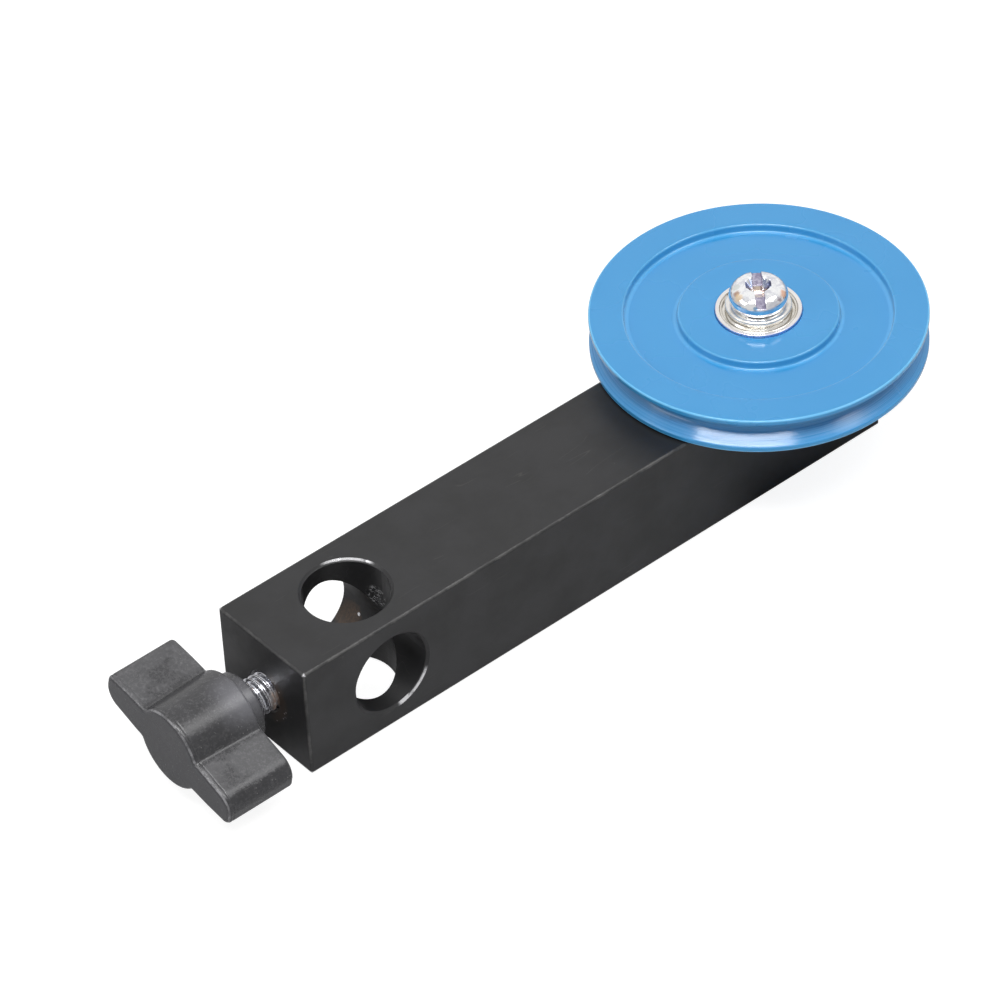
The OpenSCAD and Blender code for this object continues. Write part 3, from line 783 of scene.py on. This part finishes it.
def outline_distance(points, q):
    """Signed distance to a closed outline, negative inside."""
    best = np.full(len(q), 1e9)
    side = np.zeros(len(q), bool)
    for i in range(len(points)):
        a, b = points[i - 1], points[i]
        d = b - a
        w = q - a
        t = np.clip((w @ d) / max(d @ d, 1e-12), 0, 1)
        best = np.minimum(best, ((w - t[:, None] * d) ** 2).sum(-1))
        crosses = (a[1] > q[:, 1]) != (b[1] > q[:, 1])
        if a[1] != b[1]:
            at = a[0] + (q[:, 1] - a[1]) * d[0] / d[1]
            side ^= crosses & (q[:, 0] < at)
    return np.where(side, -1, 1) * np.sqrt(best)


def head_outline():
    """Half section of the pan head: a fillet at its foot, a full shoulder and a flat crown."""
    base_r, shoulder_r, crown_r = 1.1, 1.9, 10.0
    past_axis = -0.8
    shoulder_x, crown_z = HEAD_R - shoulder_r, HEAD_H - crown_r
    rise = math.sqrt((crown_r - shoulder_r) ** 2 - shoulder_x ** 2)
    meet = math.atan2(rise, shoulder_x)
    foot = [(HEAD_R - base_r + base_r * math.sin(a), base_r - base_r * math.cos(a))
            for a in np.linspace(0, math.pi / 2, 10)]
    shoulder = arc(shoulder_x, crown_z + rise, shoulder_r, 0, meet, 12)
    crown = arc(0, crown_z, crown_r, meet, math.pi / 2, 10)[1:]
    return np.array([(past_axis, 0.0)] + foot + shoulder + crown + [(past_axis, HEAD_H)])


def screw_head():
    half = head_outline()
    c, s = math.cos(SLOT_TURN), math.sin(SLOT_TURN)
    slot_z, cross_z = HEAD_H - SLOT_DEPTH, HEAD_H - CROSS_DEPTH
    cone_z, cone_r, cone_slope = HEAD_H - 1.9, 1.25, 0.45
    arm_reach, arm_slope = 1.1, 0.34
    arm_half_w, arm_taper = 0.5, 0.06
    box_half, box_below, box_top = 4.6, 0.15, 3.85

    def distance(p):
        q = p - np.array((REACH, 0, HEAD_Z))
        up = q[:, 2]
        rho = np.hypot(q[:, 0], q[:, 1])
        u, v = q[:, 0] * c + q[:, 1] * s, -q[:, 0] * s + q[:, 1] * c
        slot = np.maximum(np.abs(v) - SLOT_W / 2, slot_z - up)
        # cross recess: two tapered arms that narrow to its floor, and a cone where they meet
        reach = arm_reach + (up - cross_z) * arm_slope
        arms = np.minimum(np.maximum(np.abs(u) - arm_half_w - arm_taper * up, np.abs(v) - reach),
                          np.maximum(np.abs(v) - arm_half_w - arm_taper * up, np.abs(u) - reach))
        cone = np.maximum(rho - cone_r - (up - HEAD_H + SLOT_DEPTH) * cone_slope, cone_z - up)
        cross = smooth_min(np.maximum(arms, cross_z - up), cone, 0.25)
        body = outline_distance(half, np.stack([rho, up], -1))
        return smooth_max(body, -smooth_min(slot, cross, 0.08), 0.12)

    verts, faces, normals = solid_from(distance, (REACH - box_half, -box_half, HEAD_Z - box_below),
                                       (REACH + box_half, box_half, HEAD_Z + box_top), 0.075)
    return piece("screw_head", verts, faces, "root", HEAD, ["axle_screw"], normals,
                 face_in=False)


def screw_shank():
    verts, faces = threaded(AXLE_R, pitch=0.8, depth=0.49, start=0.0, end=AXLE_L, chamfer=0.6,
                            turn_points=14, around=48)
    verts = np.stack([REACH + verts[:, 2], verts[:, 1], HEAD_Z - verts[:, 0]], -1)
    return piece("screw_shank", verts, faces, "root", PLATED)


# ---------------------------------------------------------------- clamp screw

def stud():
    verts, faces = threaded(STUD_R, pitch=1.0, depth=0.6, start=STUD_BACK_X, end=STUD_TIP_X, chamfer=0.8,
                            turn_points=24, around=112)
    verts = verts + np.array((0, 0, AXIS_Z))
    return piece("stud", verts, faces, "stud", THREAD, ["clamp_stud"])


def wing_section(p, q):
    """Distance of the wings' section, in its own axes. A tip's corners are arcs, one tight and one full."""
    flip = np.where(p < 0, -1.0, 1.0)
    p, q = p * flip, q * flip
    full_corner = [(x, y, 0.0) for x, y in arc(11.2, 0.3, 2.9, -math.pi / 2, 0, 19)]
    circles = [(12.8, 1.3, 1.3), (0.0, 2.0, 1.3), (0.0, -2.0, 1.3)] + full_corner
    best = np.full(len(p), -1e9)
    for a in np.arange(0, 360, 4):
        nx, ny = math.cos(math.radians(a)), math.sin(math.radians(a))
        support = max(cx * nx + cy * ny + r for cx, cy, r in circles)
        best = np.maximum(best, p * nx + q * ny - support)
    return best


def knob():
    c, s = math.cos(math.pi / 2 + WING_TURN), math.sin(math.pi / 2 + WING_TURN)
    boss_r, boss_taper = 6.45, 0.4
    front_edge, back_edge, collar_edge = 0.65, 0.5, 0.35
    collar_half = 2.5
    parting_u, parting_depth, parting_w = 0.88, 0.07, 0.11
    socket_play = 0.04

    def distance(point):
        u = point[:, 0] - KNOB_FRONT_X
        # the section's own axes, turned about X: before the turn local x is -Z and local y is Y
        lx, ly = -(point[:, 2] - AXIS_Z), point[:, 1]
        p, q = lx * c + ly * s, -lx * s + ly * c
        rho = np.hypot(lx, ly)
        boss = rho - (boss_r + boss_taper * np.clip(u / KNOB_L, 0, 1))
        edge = np.where(u < KNOB_L / 2, front_edge, back_edge)
        body = round_slab(smooth_min(boss, wing_section(p, q), 0.5), u - KNOB_L / 2, KNOB_L / 2, edge)
        collar = round_slab(rho - COLLAR_R, u - KNOB_L - COLLAR_L + collar_half, collar_half, collar_edge)
        body = smooth_min(body, collar, 0.3)
        # parting line of the mould round the front
        body = body + parting_depth * np.exp(-((u - parting_u) / parting_w) ** 2)
        socket = np.maximum(rho - STUD_R - socket_play, STUD_BACK_X - KNOB_FRONT_X - socket_play - u)
        return np.maximum(body, -socket)

    verts, faces, normals = solid_from(
        distance, (KNOB_FRONT_X - 0.4, -14.3, AXIS_Z - 8.4),
        (KNOB_FRONT_X + KNOB_L + COLLAR_L + 0.4, 14.3, AXIS_Z + 8.4), 0.16)
    return piece("knob", verts, faces, "knob", KNOB, ["clamp_knob"], normals,
                 face_in=False)


wheel()
ring_piece()
washer()
spacer()
screw_head()
screw_shank()
stud()
knob()
paint("clamp_bar", BLACKENED)
paint("bearing_inner_ring", RING)
for k in range(1, 9):
    paint(f"bearing_ball_{k}", BALL)
for side in ("upper", "lower"):
    paint(f"cage_{side}_half", CAGE)
    paint(f"{side}_shield", SHIELD)
    paint(f"{side}_snap_ring", SHIELD)


# ---------------------------------------------------------------- stage, light and camera

CAMERA_AT = (-0.3480, -0.4742, 0.55805)
CAMERA_FORWARD = (0.46487, 0.58476, -0.66480)
CAMERA_RIGHT = (0.75905, -0.64975, -0.04075)
FOCAL_PX = 5582.9
IMAGE_PX = 1000
SENSOR_MM = 36.0
LIT_PLACE = (0.03, 0, 0.01)
LAMP_AWAY = 1.0
FLOOR_HALF, FLOOR_Z = 4.0, -0.0001


def camera():
    forward = Vector(CAMERA_FORWARD).normalized()
    right = Vector(CAMERA_RIGHT)
    right = (right - right.dot(forward) * forward).normalized()
    up = right.cross(forward)
    turn = Matrix((right, up, -forward)).transposed().to_4x4()
    data = bpy.data.cameras.new("camera")
    data.sensor_fit = "HORIZONTAL"
    data.sensor_width = SENSOR_MM
    data.lens = FOCAL_PX / IMAGE_PX * SENSOR_MM
    data.clip_start, data.clip_end = 0.05, 20
    obj = bpy.data.objects.new("camera", data)
    obj.matrix_world = Matrix.Translation(CAMERA_AT) @ turn
    bpy.context.scene.collection.objects.link(obj)
    bpy.context.scene.camera = obj


def lamp(name, direction, width, height, radiance):
    """Rectangular area lamp of a given radiance, seen from the object in the given direction."""
    data = bpy.data.lights.new(name, "AREA")
    data.shape = "RECTANGLE"
    data.size, data.size_y = width, height
    data.energy = radiance * math.pi * width * height
    obj = bpy.data.objects.new(name, data)
    d = Vector(direction).normalized()
    obj.location = Vector(LIT_PLACE) + d * LAMP_AWAY
    obj.rotation_euler = (-d).to_track_quat("-Z", "Y").to_euler()
    bpy.context.scene.collection.objects.link(obj)


def floor():
    """Pale matt floor, that the camera sees as white with the object's shadow, and mirrors see greyer."""
    mesh = bpy.data.meshes.new("floor")
    corners = [(x * FLOOR_HALF, y * FLOOR_HALF, FLOOR_Z) for x, y in ((-1, -1), (1, -1), (1, 1), (-1, 1))]
    mesh.from_pydata(corners, [], [(0, 1, 2, 3)])
    obj = bpy.data.objects.new("floor", mesh)
    bpy.context.scene.collection.objects.link(obj)
    s = Surface("floor")
    s.tree.nodes.remove(s.shader)
    grain = s.band(s.noise(60, 3, 0.5), 0.3, 0.7)

    def matt(dark, light):
        return s.node("BsdfDiffuse", {"Color": s.mix(grain, dark, light)}).outputs[0]

    plain = matt((0.78, 0.78, 0.78), (0.80, 0.80, 0.80))
    mirrored = matt((0.55, 0.55, 0.56), (0.57, 0.57, 0.58))
    shadowed = matt((0.30, 0.30, 0.30), (0.31, 0.31, 0.31))
    white = s.node("Emission", {"Color": (1, 1, 1), "Strength": 0.88}).outputs[0]
    seen = s.node("AddShader", {0: shadowed, 1: white}).outputs[0]
    path = s.node("LightPath")
    bounce = s.node("MixShader", {0: path.outputs["Is Glossy Ray"], 1: plain, 2: mirrored}).outputs[0]
    direct = s.most(path.outputs["Is Camera Ray"], path.outputs["Is Transmission Ray"])
    both = s.node("MixShader", {0: direct, 1: bounce, 2: seen})
    s.tree.links.new(both.outputs[0], s.tree.nodes["Material Output"].inputs["Surface"])
    mesh.materials.append(s.material)


def surroundings():
    """A white studio, brightest over the far side, dimmer for matt surfaces than for mirrors."""
    world = bpy.data.worlds.new("studio")
    bpy.context.scene.world = world
    world.use_nodes = True
    tree = world.node_tree
    tree.nodes.clear()
    brightest_at = (0.465, 0.585, 0.665)
    dim_level = {"matt": 0.21, "mirror": 0.72}
    bright_level = {"matt": 0.37, "mirror": 0.98}

    def add(kind, inputs=(), **settings):
        n = tree.nodes.new("ShaderNode" + kind)
        for key, value in settings.items():
            setattr(n, key, value)
        for key, value in dict(inputs).items():
            if isinstance(value, bpy.types.NodeSocket):
                tree.links.new(value, n.inputs[key])
            else:
                n.inputs[key].default_value = value
        return n

    path = add("LightPath")
    mirrored = add("Math", {0: path.outputs["Is Glossy Ray"], 1: path.outputs["Is Transmission Ray"]},
                   operation="MAXIMUM").outputs[0]

    def level_for_ray(level):
        return add("MapRange", {0: mirrored, 3: level["matt"], 4: level["mirror"]}).outputs[0]

    towards = add("TexCoord").outputs["Generated"]
    facing = add("VectorMath", {0: towards, 1: brightest_at}, operation="DOT_PRODUCT").outputs["Value"]
    dim, bright = level_for_ray(dim_level), level_for_ray(bright_level)
    level = add("MapRange", {0: facing, 1: 0.1, 2: 0.95, 3: dim, 4: bright},
                interpolation_type="SMOOTHSTEP").outputs[0]
    soft = add("Background", {"Color": (1, 0.995, 0.99, 1), "Strength": level})
    white = add("Background", {"Color": (1, 1, 1, 1), "Strength": 1.0})
    mixed = add("MixShader", {0: path.outputs["Is Camera Ray"], 1: soft.outputs[0], 2: white.outputs[0]})
    add("OutputWorld", {"Surface": mixed.outputs[0]})


camera()
floor()
surroundings()
lamp("key", (-0.335, -0.255, 0.907), 0.78, 0.17, 13.0)
lamp("side", (0.42, -0.36, 0.83), 0.50, 0.36, 4.0)
lamp("left", (-0.77, 0.28, 0.57), 0.50, 0.40, 1.8)
lamp("top", (-0.10, -0.12, 0.987), 0.50, 0.26, 5.0)
bpy.context.scene.view_settings.view_transform = "Standard"
